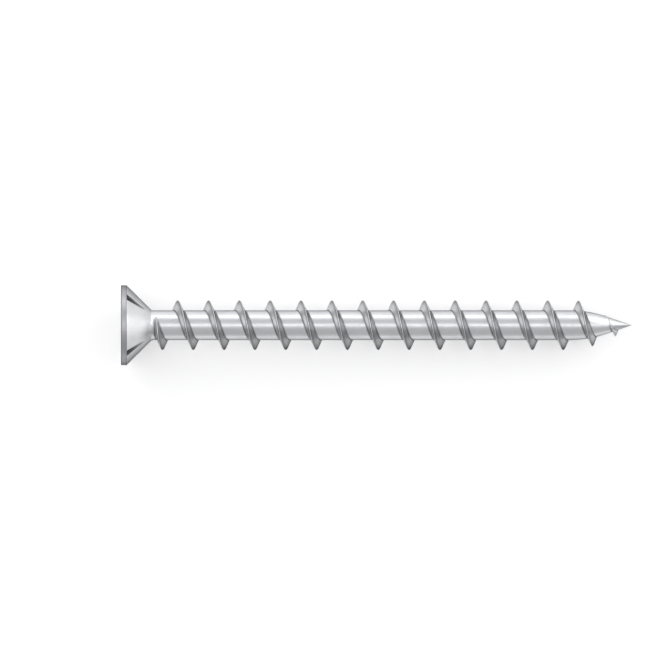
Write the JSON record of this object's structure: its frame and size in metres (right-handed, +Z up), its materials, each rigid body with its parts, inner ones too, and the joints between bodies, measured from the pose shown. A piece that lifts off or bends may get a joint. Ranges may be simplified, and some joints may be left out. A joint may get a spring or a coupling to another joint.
{
  "type": "window frame screw",
  "caption": "Zinc-plated window frame screw with a countersunk cross-recess head, milling pockets under the head, a coarse full-length thread and a sharp point.",
  "frame": {"origin": "middle of the lying screw's box, on the surface that it lies on", "axes": "+X along the screw from head to point, seen from above; +Z up; the axis falls by 2 degrees towards the point, because the head is wider than the thread"},
  "size_m": [0.045, 0.007, 0.0071],
  "materials": {
    "zinc_steel": "bright zinc plating on rolled steel"
  },
  "bodies": {
    "root": {"screw": "zinc_steel"}
  },
  "joints": []
}
